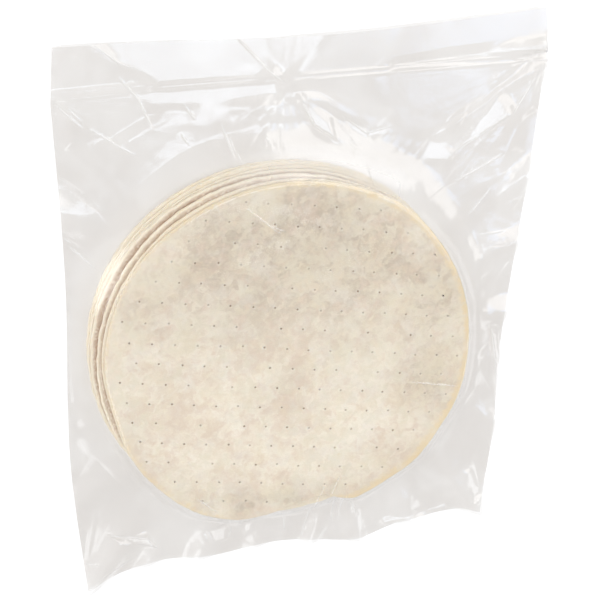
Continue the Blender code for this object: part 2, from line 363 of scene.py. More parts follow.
# %% Where the panels are
# The slope along X and along Y, then x and y of each corner in millimetres
PANELS = (
    (0.13, -0.06, 92, 121, 102, 142, 123, 128, 119.5, 119),
    (0.06, -0.04, -3, 181, 19.5, 164.5, 23.5, 148.5, 6.5, 160),
    (0.09, -0.05, 32, 164, 50, 151, 50.5, 143.5, 36, 151.5),
    (0.09, -0.05, 50, 151, 67, 155, 68.5, 148.5, 50.5, 143.5),
    (0.16, -0.04, 192.5, 194, 173, 157.5, 155, 171.5),
    (0.15, -0.05, 155, 171.5, 173, 157.5, 125, 128, 135.5, 144),
    (-0.29, 0.03, 160.5, -34, 169, -38, 172.5, -78.5, 171, -103.5, 162.5, -56),
    (0.25, -0.04, -169, -188, -138, -191, -131.5, -203.5, -154, -196),
    (0.32, -0.04, -56, -190.5, -47, -189, -47, -200, -54, -205),
    (0.27, -0.04, -88, -195.5, -68, -189.5, -70, -208, -82, -209),
    (0.4, -0.04, 40, -182.5, 46, -191.5, 43.5, -199, 38, -197.5),
    (0.1, -0.29, 67.5, -209, 99.5, -205, 99.5, -212.5, 69.5, -217),
    (0.1, -0.28, 99.5, -205, 128, -203, 128, -208.5, 99.5, -212.5),
    (-0.34, -0.06, 143, -171, 150.5, -172, 159, -198, 152, -202),
    (-0.03, -0.04, -127, 189.5, -120.5, 169, -108, 173, -111.5, 188),
    (0.13, -0.02, 60, 205.5, 196, 205.5, 194, 222, 150, 214),
)
# The slope, a place and a height that the plane goes through, then the corners
LARGE_PANELS = (
    (-0.06, 0.075, -140, 220, 2.5, -220, 260, -150, 260, -107, 190, -220, 190),
    (0.0, -0.01, -140, 220, 2.5, -183, 260, -66, 260, 0, 190, -105, 190),
    (0.0, 0.03, 6, 220, 6.6, 20, 260, 93.5, 260, 62.5, 190, -45, 190),
    (0.01, 0.0, 65, 220, 6.6, 83.5, 260, 220, 270, 220, 225.5, 150, 214, 57, 204.5),
    (0.095, 0.02, -37, 222, 2.5, -77.4, 260, 46, 260, -16.5, 199.5),
    (-0.05, 0.05, -140, 190, 3.2, -188, 201.5, -122, 201.5, -115, 180, -150, 160, -185, 160),
    (0.0, -0.03, -120, 190, 3, -132.5, 201.5, -20, 201.5, -18, 178.5, -91, 182.5, -121.5, 182),
    (0.0, 0.06, 40, 185, 5.6, 1.5, 201.5, 66, 201.5, 77.5, 162, 37.5, 164, 18, 181),
    (0.0, 0.036, 66, 180, 5.2, 57.5, 201.5, 150, 201.5, 152, 179, 128, 160, 102, 144.5, 73.5, 143),
    (0.07, 0.04, 178, 170, 4, 162, 174, 190, 191, 190.5, 157, 176, 150),
)
PANEL_BORDER, LARGE_BORDER = 0.0034, 0.01
PANEL_LIFT = 0.0006


def rows_with_points(rows, first):
    """Rows whose numbers after the first few, x and y in millimetres, are made points."""
    return [(*row[:first], np.reshape(row[first:], (-1, 2)) / 1000) for row in rows]


def in_panel(points, corners):
    """How far points lie inside a panel, from its nearest side."""
    middle = corners.mean(axis=0)
    inside = np.full(len(points), 1.0)
    for a, b in zip(corners, np.roll(corners, -1, axis=0)):
        across = np.array([a[1] - b[1], b[0] - a[0]]) / np.hypot(*(b - a))
        across = across * np.sign((middle - a) @ across)
        inside = np.minimum(inside, (points - a) @ across)
    return inside


small_panels, large_panels = rows_with_points(PANELS, 2), rows_with_points(LARGE_PANELS, 5)
print("small panels:", len(small_panels), " large panels:", len(large_panels))

# %% [markdown]
# ## Creases
# A crease is a sharp line that stays where the film was bent hard, as a ridge or as a
# groove. Along a ridge the film is painted a little whitish, partly as the plastic's own
# whitening and partly as a painted highlight of the bright line that a bent ridge catches.
# This is kept as an attribute for the finish.

# %% Where the creases are
# In millimetres: height, then x and y of each point along the crease
CREASES = (
    (0.6, -162, 239, -143, 222, -128, 215), (0.7, -143, 210, -129, 192, -120, 168),
    (0.5, -192, 194, -173, 174), (0.4, -184, 191, -173, 179), (0.6, -167, 172, -153, 162, -134, 149),
    (0.5, -95, 186, -87, 173), (0.4, -98, 162, -92, 153), (0.5, -66, 166, -57, 138),
    (0.4, -56, 145, -53, 137), (0.4, -61, 158, -57, 144), (0.5, -32, 155, -28, 147),
    (0.6, -53.5, 235.5, -28.5, 207, -17, 197), (-0.5, -192, 135, -174, 120),
    (-0.5, -189, 128, -164, 105, -155, 89), (0.4, -188, 78, -170, 59), (-0.4, -191, 85, -179, 75),
    (0.5, -3, 181, 7, 160, 24, 148), (-0.6, 24, 165, 40, 140), (0.5, 32, 164, 50, 150, 69, 154),
    (-0.4, 48, 130, 53, 108), (-0.7, 90, 128, 102, 143, 155, 177), (-0.6, 120, 127, 144, 157),
    (0.6, 193, 194, 173, 157, 125, 128), (0.6, 166, 122, 126, 102), (-0.6, 99, 88, 124, 101),
    (0.6, 138, 71, 155, 91), (-0.5, 170, 77, 187, 86), (0.5, 150, 52, 171, 53), (-0.5, 158, 41, 172, 41),
    (-0.5, 148, 47, 150, 33), (0.5, 161, -34, 173, -103), (-0.5, 153, -69, 167, -100),
    (0.4, 124, -120, 107, -151), (0.5, 84, -66, 127, -76), (0.5, -51, 103, -25, 79),
    (0.3, -33, 87, -22, 81), (0.5, -98, -151, -82, -166), (0.5, 25, -148, 17, -167),
    (0.6, 13, -152, 4, -177, -3, -214), (0.5, 24, -170, 23, -203), (0.5, 32, -166, 30, -201),
    (0.5, 40, -186, 45, -199), (0.5, -21, -183, -18, -207), (0.5, -66, -194, -67, -205),
    (0.6, -169, -189, -138, -193, -130, -206), (0.5, -190, -213, -181, -214), (0.6, -176, -225, -152, -216),
)
creases = rows_with_points(CREASES, 1)
print("creases:", len(creases))


# %% Marks of the creases
# Half widths of a crease's ridge, and of the whitish line along it, partly whitening and partly painted
# highlight
CREASE_HALF, MILK_AND_SHEEN_HALF = 0.0011, 0.0008
# Radians per metre of a crease's way, for its ups and downs, and of its height, for their start
ALONG_WAY, WITH_HEIGHT = 1900, 9e4


def crease_marks(points):
    """Height added by the creases, and the whitish line along their ridges, partly the film's whitening and
    partly painted highlight.
    """
    height, milk_and_sheen = np.zeros(len(points)), np.zeros(len(points))
    for rise, line in creases:
        rise = rise / 1000
        lengths = np.hypot(*np.diff(line, axis=0).T)
        for a, b, passed, length in zip(line, line[1:], np.cumsum(lengths) - lengths, lengths):
            away, share = from_piece(points, a, b)
            uneven = 0.75 + 0.25 * np.sin(ALONG_WAY * share * length + WITH_HEIGHT * rise)
            share = (passed + share * length) / lengths.sum()
            strength = np.sin(math.pi * (0.12 + 0.76 * share)) * uneven
            ridge = rise * np.maximum(0.0, 1.0 - away / CREASE_HALF) * strength
            height = np.where(np.abs(ridge) > np.abs(height), ridge, height)
            milk_and_sheen = np.maximum(milk_and_sheen, np.maximum(0.0, 1.0 - away / MILK_AND_SHEEN_HALF) * strength * (rise > 0))
    return height, milk_and_sheen


def near_crease(points, reach):
    """Which points lie closer to a crease than the reach."""
    near = np.zeros(len(points), dtype=bool)
    for _, line in creases:
        for a, b in zip(line, line[1:]):
            near |= from_piece(points, a, b)[0] < reach
    return near


print("milkiness along the first crease:", crease_marks(creases[0][1])[1].round(2))

# %% [markdown]
# ## Shaping a sheet of film
# A sheet starts as a flat grid. Its columns are spread from seam to seam and its rows
# from the bottom to the closure, so its border follows the outline exactly. More rows
# make the lip. Creases are narrower than the grid's cells, so the cells beside them are
# subdivided before the points are raised.

# %% Grid to outline
RIDGE, LIP = 0.00045, 0.0385
BODY_LENGTH, BODY_WIDTH = 0.4195, 0.386
CREASE_REACH = 0.0023
# Rows across the closure's two ridges: millimetres above the body, and how much of a ridge
RIDGE_ROWS = (
    (0.4, 0.3), (0.9, 1.0), (1.6, 1.0), (2.1, 0.3), (2.6, 0.0),
    (4.6, 0.0), (5.1, 0.3), (5.6, 1.0), (6.3, 1.0), (6.8, 0.3), (7.3, 0.0),
)


def between(share, a, b):
    return (1 - share) * a + share * b


def sheet_places(spacing):
    """Places of a sheet's points row by row, and how much of the closure's ridge each has."""
    body = np.linspace(0.0, 1.0, int(round(BODY_LENGTH / spacing)) + 1)
    ridges = np.array([row[0] for row in RIDGE_ROWS]) / 1000
    lip = np.linspace(ridges[-1], LIP, int(round((LIP - ridges[-1]) / spacing)) + 1)[1:]
    columns = int(round(BODY_WIDTH / spacing)) + 1
    across = np.linspace(0.0, 1.0, columns)
    low, edge = along(bottom_seam, across), along(lip_edge, across)
    high = left_seam[-1] + (right_seam[-1] - left_seam[-1]) * across[:, None]
    left, right = along(left_seam, body), along(right_seam, body)
    v, u = body[:, None, None], across[None, :, None]
    corners = between(v, between(u, low[0], low[-1]), between(u, high[0], high[-1]))
    below = between(v, low, high) + between(u, left[:, None], right[:, None]) - corners
    reach = np.concatenate([ridges, lip])[:, None, None] / LIP
    above = high + (edge - high) * reach
    ridge = np.concatenate([np.zeros(len(body)), [row[1] for row in RIDGE_ROWS], np.zeros(len(lip))])
    places = np.concatenate([below, above])
    return places.reshape(-1, 2), np.repeat(ridge, columns), columns, len(places)


print("rows and columns of a 10 mm grid:", sheet_places(0.01)[3], sheet_places(0.01)[2])


# %% Grid to film
def finish_piece(name, bm):
    """The mesh as a smooth-shaded object in the scene."""
    mesh = bpy.data.meshes.new(name)
    bm.to_mesh(mesh)
    bm.free()
    mesh.shade_smooth()
    piece = bpy.data.objects.new(name, mesh)
    bpy.context.scene.collection.objects.link(piece)
    print(name, "faces:", len(mesh.polygons))
    return piece


def sheet_mesh(name, spacing, heights, cuts):
    """A grid of film whose points are moved to their places and heights."""
    places, ridge, columns, rows = sheet_places(spacing)
    bm = bmesh.new()
    bmesh.ops.create_grid(bm, x_segments=columns - 1, y_segments=rows - 1, size=0.5)
    ridge_share = bm.verts.layers.float.new("ridge")
    # Whitish share per point: whitened bends with painted highlight, and painted reflection
    milk_and_sheen_layer = bm.verts.layers.float.new("milk_and_sheen")
    order = sorted(bm.verts, key=lambda vertex: (round(vertex.co.y, 6), vertex.co.x))
    for vertex, (x, y), share in zip(order, places, ridge):
        vertex.co = (x, y, 0.0)
        vertex[ridge_share] = share
    if cuts:
        faces = list(bm.faces)
        centres = np.array([face.calc_center_median()[:2] for face in faces])
        near = near_crease(centres, CREASE_REACH)
        chosen = {edge for face, close in zip(faces, near) if close for edge in face.edges}
        bmesh.ops.subdivide_edges(bm, edges=list(chosen), cuts=cuts, use_grid_fill=True)
    points = np.array([vertex.co[:2] for vertex in bm.verts])
    share = np.array([vertex[ridge_share] for vertex in bm.verts])
    height, milk_and_sheen = heights(points, share)
    for vertex, z, milk_and_sheen_value in zip(bm.verts, height, milk_and_sheen):
        vertex.co.z = z
        vertex[milk_and_sheen_layer] = milk_and_sheen_value
    return finish_piece(name, bm)


# %% [markdown]
# ## Front film
# The front film is its large form, then the panels, then pleats, facets and creases on
# top. They are strong where the film was crumpled, and faint in the panels and on the
# bread. A band round the stack's upper right edge is painted whitish, a painted
# reflection of the soft light that the film's drop mirrors there.

# %% Crumpled film, and the band of painted reflection
CALM, REFLECTION_BAND_STRENGTH = 0.35, 0.8


def crumple(points):
    """How crumpled the film is: most at the right, near the mouth and along the bottom."""
    x, y = points.T
    right = ease((x - 0.02) / 0.09)
    bottom = ease((-0.165 - y) / 0.03)
    mouth = ease((y - 0.11) / 0.03) * ease((x + 0.13) / 0.05) * ease((0.19 - y) / 0.01)
    return CALM + (1.0 - CALM) * np.max([right, bottom, mouth], axis=0)


def reflection_band(points):
    """The band round the upper edge of the stack where a painted reflection is laid on the film as whitish
    haze.
    """
    away = points - STACK_CENTRE
    direction = np.degrees(np.arctan2(away[:, 1], away[:, 0]))
    beyond = np.hypot(*away.T) - edge_of_top(direction)
    band = ease((beyond + 0.002) / 0.004) * (1.0 - ease((beyond - 0.012) / 0.016))
    return REFLECTION_BAND_STRENGTH * band * ease((direction - 30) / 30) * (1.0 - ease((direction - 92) / 28))


print("crumpled near the mouth:", crumple(np.array([(0.0, 0.15)])))

# %% Height of the front film
FILM_LIFT = 0.00015
# The back film follows the folds only in part, because it lies on the table
BACK_FOLLOWS = 0.35
BETWEEN_SHEETS, THINNEST = 0.0007, 0.0003
# Height, size, seed, stretch and turn of the facets on the loose film
FACETS = (
    (0.0014, 0.034, 3.0, 1.6, 0.9), (0.0003, 0.013, 7.0, 1.5, -0.6), (0.00007, 0.0065, 11.0, 1.0, 0.0),
)
ON_BREAD = (0.00004, 0.009, 14.0)
FLATTER_IN_PANEL = 0.8
# How strong the facets are at a seam and in the lip, and how far the seam is felt
AT_SEAM, IN_LIP, SEAM_REACH = 0.15, 0.55, 0.02
# How far outside the stack facets and pleats begin, and over what distance they grow
LOOSE_FROM, LOOSE_RISE, PLEATS_FROM, PLEATS_RISE = 0.002, 0.02, 0.001, 0.016


def all_facets(points, kinds):
    """Facets of several kinds together, each with its height first."""
    return sum(height * facets(points, *lattice) for height, *lattice in kinds)


def front_form(points):
    """The front film's large form, without panels and fine marks."""
    lip = fold_height(points) + SEAM_THICKNESS
    return np.where(points[:, 1] < ZIP_Y, front_height(points, in_from_seam(points)), lip)


def back_form(points):
    """The back film's large form."""
    return BACK_FOLLOWS * np.where(points[:, 1] < ZIP_Y, back_height(points), fold_height(points))


def panel_planes():
    """Each panel's corners, slope and border, and a place and a height on its plane."""
    for *slope, corners in small_panels:
        middle = corners.mean(axis=0)
        yield corners, slope, PANEL_BORDER, middle, front_form(middle[None])[0] + PANEL_LIFT
    for *slope, x, y, level, corners in large_panels:
        yield corners, slope, LARGE_BORDER, np.array((x, y)) / 1000, level / 1000


def front_sheet(points, ridge):
    """Height of every point of the front film, and its whitish share: whitened bends with painted
    highlight, and a painted reflection.
    """
    form, flat = front_form(points), np.zeros(len(points))
    for corners, slope, border, place, level in panel_planes():
        share = ease(in_panel(points, corners) / border + 0.5)
        form = form + share * (level + (points - place) @ np.array(slope) - form)
        flat = np.maximum(flat, share)
    uneven = 1.0 - FLATTER_IN_PANEL * flat
    clear = clear_of_stack(points)
    from_seam = AT_SEAM + (1.0 - AT_SEAM) * np.minimum(in_from_seam(points) / SEAM_REACH, 1.0)
    loose = ease((clear - LOOSE_FROM) / LOOSE_RISE) * crumple(points) * uneven
    loose = loose * np.where(points[:, 1] < ZIP_Y, from_seam, IN_LIP)
    crinkle = loose * all_facets(points, FACETS) + all_facets(points, [ON_BREAD])
    pleats = pleat_height(points) * uneven * ease((clear - PLEATS_FROM) / PLEATS_RISE)
    marks, milk_and_sheen = crease_marks(points)
    lifted = np.maximum(form + pleats + crinkle, back_form(points) + BETWEEN_SHEETS) + marks
    # Whitened bends and painted highlights from the creases, and the painted reflection band
    return FILM_LIFT + np.maximum(lifted, THINNEST) + RIDGE * ridge, np.maximum(milk_and_sheen, reflection_band(points))


film_front = sheet_mesh("film_front", 0.0019, front_sheet, cuts=3)

# %% [markdown]
# ## Back film
# The back film lies on the table. It follows the folds a third of the way and has soft
# facets. At the sides of the lip it is welded to the front film, so it rises to it there.

# %% Make the back film
SEAM_X, WELD, WELD_THICKNESS = 0.1945, 0.01, 0.0005
BACK_FACETS = (0.0004, 0.02, 5.0)


def back_sheet(points, ridge):
    """Height of every point of the back film, which has no whitish share anywhere."""
    above = points[:, 1] >= ZIP_Y
    loose = ease((clear_of_stack(points) - FOOT) / FOOT_RISE) * crumple(points)
    lifted = back_form(points) + np.maximum(0.0, loose * all_facets(points, [BACK_FACETS]))
    welded = (1.0 - ease((SEAM_X - np.abs(points[:, 0])) / WELD)) * above
    front = front_sheet(points, np.zeros(len(points)))[0] - FILM_LIFT - WELD_THICKNESS
    lifted = lifted + welded * np.maximum(0.0, front - lifted)
    return FILM_LIFT + lifted, np.zeros(len(points))


film_back = sheet_mesh("film_back", 0.0036, back_sheet, cuts=0)
film_back.data.flip_normals()

# %% [markdown]
# ## Baked rounds
# A tortilla is flat, with a thin soft rim. A turned disc would do for its shape, but its
# points crowd together in the middle, and the docking marks need even ones. So a square
# grid is pressed into a disc, and its border is extruded out, down and under, ring by
# ring, to roll the rim.

# %% Press a grid into a disc and roll its rim
LAYER = 0.00275
FLOOR_GAP, ROUND_GAP = 0.00025, 0.00012
RIM_WIDTH, RIM_HALF, RIM_BULGE = 0.009, 0.00126, 0.0005
UNDER_RIM = 0.006


def rim_section():
    """Rings from the flat top's edge, over the rim and back under it, as radius and height."""
    top, low = LAYER - ROUND_GAP, 2 * RIM_HALF
    shoulder = [(RADIUS - RIM_WIDTH * (1 - share), top - (top - low) * ease(share))
                for share in (0.25, 0.5, 0.72, 0.88)]
    lip = [(RADIUS - RIM_BULGE * (1 - math.sin(turn)), RIM_HALF * (1 + math.cos(turn)))
           for turn in np.linspace(0.0, math.pi, 9)]
    return shoulder + lip + [(RADIUS - UNDER_RIM, 0.0)]


def pressed_disc(cells):
    """A closed disc made of one grid with so many cells a side, and its rolled rim."""
    bm = bmesh.new()
    bmesh.ops.create_grid(bm, x_segments=cells, y_segments=cells, size=1.0)
    flat_radius = RADIUS - RIM_WIDTH
    for vertex in bm.verts:
        u, v = vertex.co.x, vertex.co.y
        x, y = u * math.sqrt(1 - v * v / 2), v * math.sqrt(1 - u * u / 2)
        vertex.co = (flat_radius * x, flat_radius * y, LAYER - ROUND_GAP)
    border = [e for e in bm.edges if e.is_boundary]
    for radius, height in rim_section():
        border = [g for g in bmesh.ops.extrude_edge_only(bm, edges=border)["geom"]
                  if isinstance(g, bmesh.types.BMEdge)]
        for vertex in {v for e in border for v in e.verts}:
            out = Vector((vertex.co.x, vertex.co.y, 0.0)).normalized()
            vertex.co = out * radius + Vector((0.0, 0.0, height))
    bmesh.ops.holes_fill(bm, edges=border, sides=0)
    bmesh.ops.recalc_face_normals(bm, faces=bm.faces)
    return bm


print("rings round the rim:", len(rim_section()))

# %% [markdown]
# ## Uneven edges and a crust
# No baked round is a true circle. Sines with many waves round the edge make it ragged,
# and others make its rim wave up and down. The top round is yellow along its rim, less
# where the rim was pressed in, and shade is painted brown into the crevices between the
# rims below. Both are kept as attributes, because only the mesh knows where its rim is.

# %% Shape each round
# Direction in degrees, width and strength of the top round's yellow rim
CRUST = np.array([
    (-180, 4, 0.4), (-150, 5, 0.45), (-125, 4.5, 0.5), (-110, 3, 0.35), (-95, 2, 0.1), (-80, 2.5, 0.2),
    (-68, 7, 0.7), (-55, 8, 0.8), (-40, 7.5, 0.8), (-20, 6, 0.8), (0, 5, 0.75), (30, 6, 0.85),
    (60, 6, 0.85), (85, 5, 0.8), (110, 3.5, 0.55), (145, 3, 0.45), (180, 4, 0.4),
])
CRUST_WIDTH, LOWER_CRUST, LOWER_CRUST_WIDTH = 0.0013, 0.3, 0.004
# How strong the shade painted into the crevices of each round is, from the lowest to the top one
CREVICE_SHADE_AMOUNTS = (0.3, 0.05, 0.05, 0.1, 1.0, 0.8, 0.15, 0.1)
# Two rounds that lie a little to one side of their step in the solid model
SETTLED = {5: (-0.0042, -0.0022), 6: (0.0029, -0.0026)}
ROUGH_TOP, ROUGH_LOWER, OVAL, WOBBLE = 0.0005, 0.001, 0.0007, 0.00011
UNDER_TOP = 0.001
RIPPLES, RIPPLE_FADE = ((0.00013, 0.016, 21.0), (0.00007, 0.008, 22.0)), 0.02


def ragged_edge(index, direction):
    """The radius of a round's edge in directions given in degrees."""
    turn = np.radians(direction)
    rough = sum(np.sin(waves * turn + 2.3 * index + waves) / waves**0.5 for waves in (31, 47, 73, 101))
    if index == TOP:
        return edge_of_top(direction) + ROUGH_TOP * rough
    edge = RADIUS + OVAL * np.sin(3 * turn + 77 * index) + ROUGH_LOWER * rough
    if index == TOP - 1:
        edge = np.minimum(edge, edge_of_top(direction) - UNDER_TOP)
    return edge


def rim_shares(index, flat, from_rim, direction):
    """How much crust and how much painted crevice shade each point of a round has."""
    if index == TOP:
        width, strength = (np.interp(direction, CRUST[:, 0], CRUST[:, i]) for i in (1, 2))
        crust = strength * (1.0 - ease(from_rim / (CRUST_WIDTH * width) - 0.15))
    else:
        crust = LOWER_CRUST * (1.0 - ease(from_rim / LOWER_CRUST_WIDTH))
    # Painted shade: brown for the underside of the lip, and for a lower round's shoulder under the round
    # above, weaker near the pressed-in edge
    under = np.clip((0.8 * RIM_HALF - flat[:, 2]) / (0.7 * RIM_HALF), 0.0, 1.0)
    covered = ease((from_rim - 0.0012) / 0.0022) * (index < TOP)
    from_dent = np.abs(turn_between(direction, DENT_DIRECTION))
    crevice_shade_share = CREVICE_SHADE_AMOUNTS[index] * (0.15 + 0.85 * ease(from_dent / 60))
    return {"from_rim": from_rim, "crust": crust, "crevice_shade": crevice_shade_share * np.maximum(under, covered)}


def rolled_round(index, cells):
    """A pressed disc with its own edge and ripples, where it lies in the stack."""
    bm = pressed_disc(cells)
    flat = np.array([v.co for v in bm.verts])
    reach = np.hypot(flat[:, 0], flat[:, 1])
    direction = np.degrees(np.arctan2(flat[:, 1], flat[:, 0]))
    scale = 1.0 + (ragged_edge(index, direction) / RADIUS - 1.0) * (reach / RADIUS) ** 6
    places = flat[:, :2] * scale[:, None] + STACK_CENTRE + SLIDES[index] + SETTLED.get(index, (0.0, 0.0))
    height = FLOOR_GAP + index * LAYER + flat[:, 2]
    if index == TOP:
        ripple = all_facets(places, RIPPLES) * ease((RADIUS - reach) / RIPPLE_FADE)
        height = height + (swell(places) + ripple) * flat[:, 2] / LAYER
    else:
        turn = np.radians(direction)
        wobble = sum(np.sin(waves * turn + 5.1 * index + waves) for waves in (9, 17, 29, 44, 67))
        height = np.maximum(height + WOBBLE * wobble * (reach / RADIUS) ** 8, FLOOR_GAP)
    for name, values in rim_shares(index, flat, RADIUS - reach, direction).items():
        layer = bm.verts.layers.float.new(name)
        for vertex, value in zip(bm.verts, values):
            vertex[layer] = value
    for vertex, (x, y), z in zip(bm.verts, places, height):
        vertex.co = (x, y, z)
    return bm


lower_rounds = [finish_piece(f"tortilla_{i + 1}", rolled_round(i, 90)) for i in range(TOP)]

# %% [markdown]
# ## Docking marks
# Before baking, a roller of pins pricks the dough so that it stays flat. The pins stand
# in slanting rows, three quarters of an inch apart. Each prick is a real pit here: the
# nearest point of the mesh is moved to the mark and bevelled into a small round patch,
# whose middle is inset and pushed down.

# %% Places of the marks
DOCK_STEP = np.array([(0.01825, -0.00313), (0.00459, -0.01885)])
DOCK_START = np.array([0.0196, -0.014])
DOCK_CLEAR, DOCK_UNEVEN, DOCK_MISSING = 0.0075, 0.0003, 0.04
rng = np.random.default_rng(12)
marks = []
for i in range(-14, 15):
    for j in range(-14, 15):
        mark = DOCK_START + i * DOCK_STEP[0] + j * DOCK_STEP[1] + rng.normal(0.0, DOCK_UNEVEN, 2)
        edge = edge_of_top(np.degrees(np.arctan2(mark[1:], mark[:1])))[0]
        if np.hypot(*mark) < edge - DOCK_CLEAR and rng.random() > DOCK_MISSING:
            marks.append(mark + STACK_CENTRE)
print("docking marks:", len(marks))

# %% Prick the top round
DOCK_RADIUS, DOCK_WALL, DOCK_DEPTH = 0.00115, 0.00042, 0.0005
TAKEN = (9.0, 9.0)
top_bm = rolled_round(TOP, 128)
docking = top_bm.verts.layers.float.new("docking")
from_rim = top_bm.verts.layers.float["from_rim"]
flat_top = [v for v in top_bm.verts if v.normal.z > 0.9 and v[from_rim] > 0.006]
spots = np.array([(v.co.x, v.co.y) for v in flat_top])
pricked = []
for mark in marks:
    nearest = int(np.argmin(np.hypot(*(spots - mark).T)))
    flat_top[nearest].co.x, flat_top[nearest].co.y = mark
    spots[nearest] = TAKEN
    pricked.append(flat_top[nearest])
patch = bmesh.ops.bevel(top_bm, geom=pricked, affect="VERTICES", offset=DOCK_RADIUS, offset_type="OFFSET",
                        segments=2, profile=0.5, material=-1)["faces"]
centres, pit = np.array(marks), set(patch)
for vertex in {v for f in patch for v in f.verts}:
    vertex[docking] = 0.35
    if all(face in pit for face in vertex.link_faces):
        continue
    away = np.array(vertex.co[:2]) - centres
    away = away[int(np.argmin(np.hypot(*away.T)))]
    out = away * (DOCK_RADIUS / max(math.hypot(*away), 1e-6) - 1.0)
    vertex.co.x += out[0]
    vertex.co.y += out[1]
bmesh.ops.inset_region(top_bm, faces=patch, thickness=DOCK_WALL, depth=0.0)
for vertex in {v for f in patch for v in f.verts}:
    vertex.co.z -= DOCK_DEPTH
    vertex[docking] = 1.0
top_round = finish_piece("tortilla_8", top_bm)
print("pit faces:", len(patch))

# %% [markdown]
# ## Writing a finish
# A finish is a small calculation on each point of a surface, and it reads best as one. So
# a small class lets a shader's socket be added to, multiplied by and taken from like a
# number, and one method makes every other node.

# %% Shader arithmetic
def math_node(operation, reflected=False):
    """An operator that adds a Math node, with its two sides swapped if reflected."""
    def combine(self, other):
        a, b = (other, self) if reflected else (self, other)
        return self.finish.node("Math", {"operation": operation}, {0: a, 1: b})
    return combine


class Value:
    """A shader socket that can be used in sums."""

    def __init__(self, finish, socket):
        self.finish, self.socket = finish, socket

    __add__, __radd__ = math_node("ADD"), math_node("ADD", True)
    __sub__, __rsub__ = math_node("SUBTRACT"), math_node("SUBTRACT", True)
    __mul__, __rmul__ = math_node("MULTIPLY"), math_node("MULTIPLY", True)
    __truediv__, __rtruediv__ = math_node("DIVIDE"), math_node("DIVIDE", True)
    __pow__, __rpow__ = math_node("POWER"), math_node("POWER", True)

    def ramp(self, low, high):
        """0 at low and 1 at high, smooth between."""
        return self.finish.node("MapRange", {"interpolation_type": "SMOOTHSTEP"},
                                {0: self, 1: low, 2: high, 3: 0.0, 4: 1.0})


class Finish:
    """The nodes of a material or a world, with one method that makes any node."""

    def __init__(self, owner):
        owner.use_nodes = True
        self.owner, self.tree = owner, owner.node_tree
        self.tree.nodes.clear()

    def node(self, kind, settings, inputs, output=0):
        """A node whose type is written without the ShaderNode in front of it."""
        made = self.tree.nodes.new("ShaderNode" + kind)
        for key, value in settings.items():
            setattr(made, key, value)
        for key, value in inputs.items():
            if isinstance(value, Value):
                self.tree.links.new(value.socket, made.inputs[key])
            else:
                made.inputs[key].default_value = value
        return None if output is None else Value(self, made.outputs[output])

    def mix(self, share, a, b):
        """A colour between two colours."""
        return self.node("Mix", {"data_type": "RGBA"}, {0: share, 6: a, 7: b}, output=2)

    def place(self):
        return self.node("TexCoord", {}, {}, output="Object")

    def attribute(self, name):
        return self.node("Attribute", {"attribute_name": name}, {}, output="Fac")

    def noise(self, place, scale, detail=2.0, roughness=0.5, distortion=0.0, kind="FBM", output="Fac"):
        return self.node("TexNoise", {"noise_type": kind}, {
            "Vector": place, "Scale": scale, "Detail": detail, "Roughness": roughness,
            "Distortion": distortion}, output)

    def end(self, shader, kind="OutputMaterial"):
        """Finishes the tree with its output, and gives the material or the world."""
        self.node(kind, {}, {"Surface": shader}, output=None)
        print(self.owner.name, "nodes:", len(self.tree.nodes))
        return self.owner


def new_finish(name):
    return Finish(bpy.data.materials.new(name))


# %% [markdown]
# ## The look of the bread
# Flour tortillas are cream where the dough is dry and airy, and greyer where it was
# pressed hard. Flakes and soft patches of both make a mottle, which has its own dark and
# light ends where the whole face is dimmer and where it is lighter. Faint tan, green,
# pink and yellow patches lie over it. The colours stay close together, because strong
# ones would read as toast.

# %% The baked face
# Both ends of the mottle, each where the face is dim and where it is light
DARK_END = ((0.585, 0.5, 0.395, 1.0), (0.905, 0.81, 0.67, 1.0))
LIGHT_END = ((0.775, 0.695, 0.56, 1.0), (0.99, 0.925, 0.8, 1.0))
TAN = (0.68, 0.54, 0.41, 1.0)
SAGE = (0.82, 0.77, 0.62, 1.0)
BLUSH = (0.78, 0.64, 0.52, 1.0)
BUTTER = (0.85, 0.745, 0.555, 1.0)
CHALK = (0.86, 0.815, 0.74, 1.0)
# Place and reach in millimetres of what is dimmer (below zero) or lighter, and how much
TONES = (
    (-30, 75, 70, -1), (40, 60, 60, -0.75), (-20, -20, 50, 0.3), (97, -70, 30, -1.1), (-95, -80, 60, 1.3),
    (-20, -130, 60, 0.85), (50, -90, 50, 1.1), (112, 20, 45, -0.9), (-165, -20, 40, 1.2),
    (-15.5, -165, 20, -1.2), (-53, -165, 18, -1), (17, -161, 16, -0.8),
)
TONE_HEIGHT, TONE_STRENGTH, TONE_MIDDLE = 0.022, 0.4, 0.55


def lightness(finish, place, wide, tones):
    """How light the face is as a whole, between dim and light."""
    region = TONE_MIDDLE
    for x, y, reach, amount in tones:
        away = finish.node("VectorMath", {"operation": "DISTANCE"},
                           {0: place, 1: (x / 1000, y / 1000, TONE_HEIGHT)}, output="Value")
        region = region + TONE_STRENGTH * amount * (1 - away.ramp(0.0, reach * 1.5 / 1000))
    return (region + wide * 0.3).ramp(0.15, 1.25)


